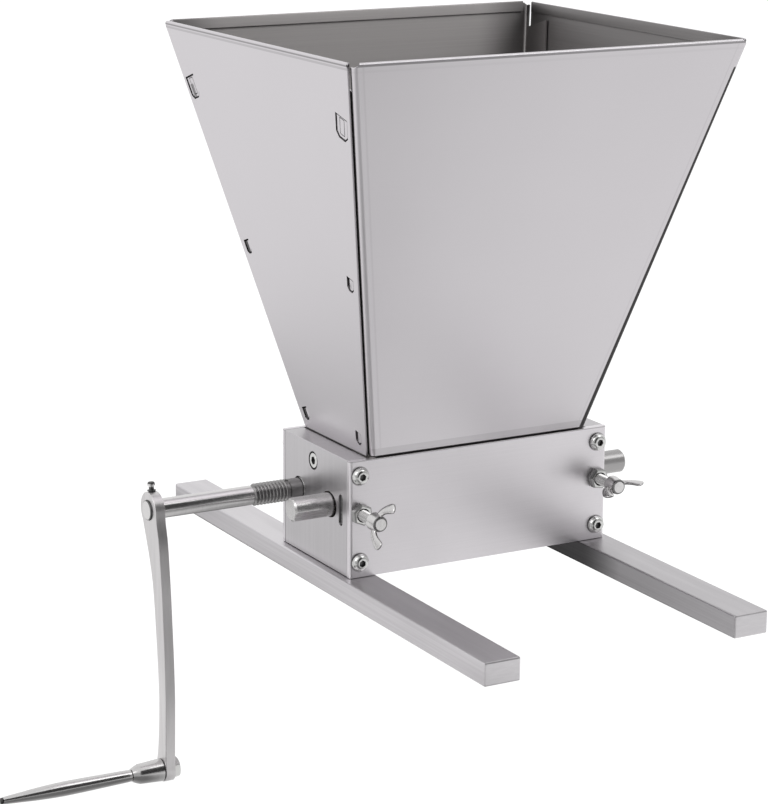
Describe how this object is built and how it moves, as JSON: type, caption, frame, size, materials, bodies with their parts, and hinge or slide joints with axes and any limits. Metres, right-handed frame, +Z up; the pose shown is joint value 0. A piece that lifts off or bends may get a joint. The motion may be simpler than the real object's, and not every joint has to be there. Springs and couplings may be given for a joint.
{
  "type": "grain mill",
  "caption": "Hand cranked roller grain mill with a folded sheet hopper, a bowed crank arm with a slim grip, wing screws that set the roller gap, and foot bars that lie across a bucket.",
  "frame": {"origin": "midway between the foot bars and between the frame's front and rear plates, in the plane of the bars' undersides, where they lie on a bucket's rim", "axes": "+Z up; +X along the rollers, away from the crank; +Y from the front plate, which has the wing screws, to the rear plate"},
  "size_m": [0.3692, 0.3455, 0.3845],
  "materials": {
    "brushed_sheet": "brushed sheet",
    "satin_plate": "satin",
    "milled_block": "milled",
    "bar_stock": "drawn bar",
    "turned_steel": "turned",
    "roller_steel": "knurled",
    "bright_zinc": "bright zinc plated",
    "cast_wing": "cast and plated",
    "bronze": "machined bronze",
    "dark_steel": "blackened",
    "polished_steel": "polished"
  },
  "bodies": {
    "frame": {"foot_bar_left": "bar_stock", "foot_bar_right": "bar_stock", "foot_screw_left_front": "bright_zinc", "foot_screw_left_rear": "bright_zinc", "foot_screw_right_front": "bright_zinc", "foot_screw_right_rear": "bright_zinc", "end_block_left": "milled_block", "end_block_right": "milled_block", "front_plate": "satin_plate", "rear_plate": "satin_plate", "front_bolt_left_lower": "bright_zinc", "front_bolt_left_upper": "bright_zinc", "front_bolt_right_lower": "bright_zinc", "front_bolt_right_upper": "bright_zinc", "rear_bolt_left_lower": "bright_zinc", "rear_bolt_left_upper": "bright_zinc", "rear_bolt_right_lower": "bright_zinc", "rear_bolt_right_upper": "bright_zinc", "drive_bush_left": "bronze", "drive_bush_right": "bronze", "adjuster_nut_left": "dark_steel", "adjuster_nut_right": "dark_steel", "hopper_front": "brushed_sheet", "hopper_rear": "brushed_sheet", "hopper_left": "brushed_sheet", "hopper_right": "brushed_sheet", "hopper_screw_left": "bright_zinc", "hopper_screw_right": "bright_zinc", "hopper_nut_left": "bright_zinc", "hopper_nut_right": "bright_zinc"},
    "crank": {"drive_roller": "roller_steel", "crank_rod": "turned_steel", "crank_arm": "polished_steel", "crank_set_screw": "bright_zinc", "handle_collar": "polished_steel", "handle_nut": "bright_zinc", "handle_bolt": "dark_steel"},
    "grip": {"handle_grip": "polished_steel"},
    "carriage": {"idle_bearing_left": "bronze", "idle_bearing_right": "bronze"},
    "idle": {"idle_roller": "roller_steel"},
    "wing_left": {"wing_screw_left": "cast_wing"},
    "wing_right": {"wing_screw_right": "cast_wing"},
    "nut_left": {"lock_nut_left": "bright_zinc"},
    "nut_right": {"lock_nut_right": "bright_zinc"}
  },
  "joints": [
    {"name": "drive_spin", "type": "hinge", "parent": "frame", "child": "crank", "pos_m": [0, 0.0184, 0.0465], "axis": [1, 0, 0], "continuous": true},
    {"name": "grip_spin", "type": "hinge", "parent": "crank", "child": "grip", "pos_m": [-0.2, 0.00679, -0.0917], "axis": [1, 0, 0], "continuous": true},
    {"name": "gap_slide", "type": "slide", "parent": "frame", "child": "carriage", "axis": [0, 1, 0], "range_m": [-0.0014, 0.0013]},
    {"name": "idle_spin", "type": "hinge", "parent": "carriage", "child": "idle", "pos_m": [0, -0.0155, 0.0465], "axis": [1, 0, 0], "continuous": true},
    {"name": "left_wing_spin", "type": "hinge", "parent": "carriage", "child": "wing_left", "pos_m": [-0.07225, -0.05, 0.0465], "axis": [0, 1, 0], "range_deg": [-504, 468]},
    {"name": "right_wing_spin", "type": "hinge", "parent": "carriage", "child": "wing_right", "pos_m": [0.07225, -0.05, 0.0465], "axis": [0, 1, 0], "range_deg": [-504, 468]},
    {"name": "left_nut_spin", "type": "hinge", "parent": "frame", "child": "nut_left", "pos_m": [-0.07225, -0.04, 0.0465], "axis": [0, 1, 0], "range_deg": [-90, 0]},
    {"name": "right_nut_spin", "type": "hinge", "parent": "frame", "child": "nut_right", "pos_m": [0.07225, -0.04, 0.0465], "axis": [0, 1, 0], "range_deg": [-90, 0]}
  ],
  "couplings": [
    {"joint": "left_wing_spin", "follows": "gap_slide", "rad_per_m": 6283},
    {"joint": "right_wing_spin", "follows": "gap_slide", "rad_per_m": 6283}
  ]
}
